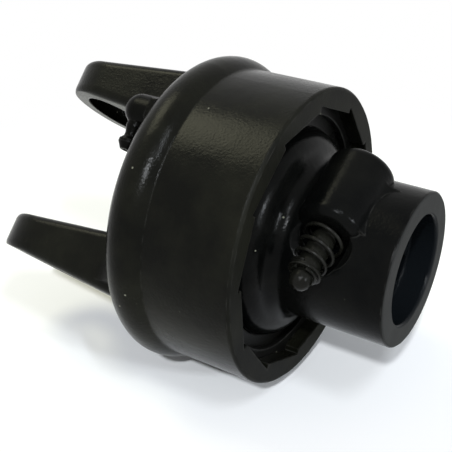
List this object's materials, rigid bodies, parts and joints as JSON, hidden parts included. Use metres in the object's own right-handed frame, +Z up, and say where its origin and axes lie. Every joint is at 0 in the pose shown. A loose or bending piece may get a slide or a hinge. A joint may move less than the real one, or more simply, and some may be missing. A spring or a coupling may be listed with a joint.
{
  "type": "overrunning clutch",
  "caption": "Ratchet overrunning clutch: a drum with a cross-bearing yoke turns freely one way round a splined hub that has a spring-loaded quick-release pin.",
  "frame": {"origin": "centre of the splined bore's mouth, on the hub's end face", "axes": "+X along the clutch's axis and out of the splined bore, towards the machine's shaft; the yoke is at -X; +Z up; -Y is the side the push pin's head points to"},
  "size_m": [0.1465, 0.106, 0.106],
  "materials": {
    "housing_paint": "semi-gloss black paint over forged steel",
    "hub_paint": "semi-gloss black paint, thin and grey on the machined end",
    "washer_paint": "semi-gloss black paint",
    "fitting_paint": "semi-gloss black paint",
    "ring_steel": "phosphated spring steel, painted over",
    "bronze": "plain bearing bronze, greased",
    "pawl_steel": "hardened and ground",
    "spring_steel": "dark spring steel",
    "pin_steel": "dark plated steel, partly painted over",
    "ball_steel": "polished"
  },
  "bodies": {
    "hub": {"hub": "hub_paint", "pawl_spring_1": "spring_steel", "pawl_spring_2": "spring_steel", "pawl_spring_3": "spring_steel", "pawl_spring_4": "spring_steel", "push_pin_spring": "spring_steel"},
    "housing": {"housing_yoke": "housing_paint", "cover_washer": "washer_paint", "retaining_ring": "ring_steel", "thrust_washer": "bronze", "journal_bush": "bronze", "grease_elbow": "fitting_paint", "grease_ball_spring": "spring_steel"},
    "pin": {"push_pin": "pin_steel", "spring_washer": "pin_steel", "spring_clip": "ring_steel"},
    "pawl_1": {"pawl_1": "pawl_steel"},
    "pawl_2": {"pawl_2": "pawl_steel"},
    "pawl_3": {"pawl_3": "pawl_steel"},
    "pawl_4": {"pawl_4": "pawl_steel"},
    "check_ball": {"grease_ball": "ball_steel"}
  },
  "joints": [
    {"name": "overrun", "type": "hinge", "parent": "hub", "child": "housing", "pos_m": [-0.06, 0, 0], "axis": [1, 0, 0], "range_deg": [0, 360]},
    {"name": "pin_press", "type": "slide", "parent": "hub", "child": "pin", "axis": [0, 0.9063, 0.4226], "range_m": [0, 0.008], "stiffness_N_per_m": 4000, "springref_m": -0.0075, "deforming": ["push_pin_spring"]},
    {"name": "pawl_1_swing", "type": "hinge", "parent": "hub", "child": "pawl_1", "pos_m": [-0.0556, 0.01774, 0.03304], "axis": [-1, 0, 0], "range_deg": [0, 10], "stiffness_Nm_per_rad": 0.5, "springref_deg": 20.05, "deforming": ["pawl_spring_1"]},
    {"name": "pawl_2_swing", "type": "hinge", "parent": "hub", "child": "pawl_2", "pos_m": [-0.0556, 0.03304, -0.01774], "axis": [-1, 0, 0], "range_deg": [0, 10], "stiffness_Nm_per_rad": 0.5, "springref_deg": 20.05, "deforming": ["pawl_spring_2"]},
    {"name": "pawl_3_swing", "type": "hinge", "parent": "hub", "child": "pawl_3", "pos_m": [-0.0556, -0.01774, -0.03304], "axis": [-1, 0, 0], "range_deg": [0, 10], "stiffness_Nm_per_rad": 0.5, "springref_deg": 20.05, "deforming": ["pawl_spring_3"]},
    {"name": "pawl_4_swing", "type": "hinge", "parent": "hub", "child": "pawl_4", "pos_m": [-0.0556, -0.03304, 0.01774], "axis": [-1, 0, 0], "range_deg": [0, 10], "stiffness_Nm_per_rad": 0.5, "springref_deg": 20.05, "deforming": ["pawl_spring_4"]},
    {"name": "ball_check", "type": "slide", "parent": "housing", "child": "check_ball", "axis": [0, 0.7071, 0.7071], "range_m": [0, 0.0008], "stiffness_N_per_m": 60, "springref_m": -0.002, "deforming": ["grease_ball_spring"]}
  ]
}
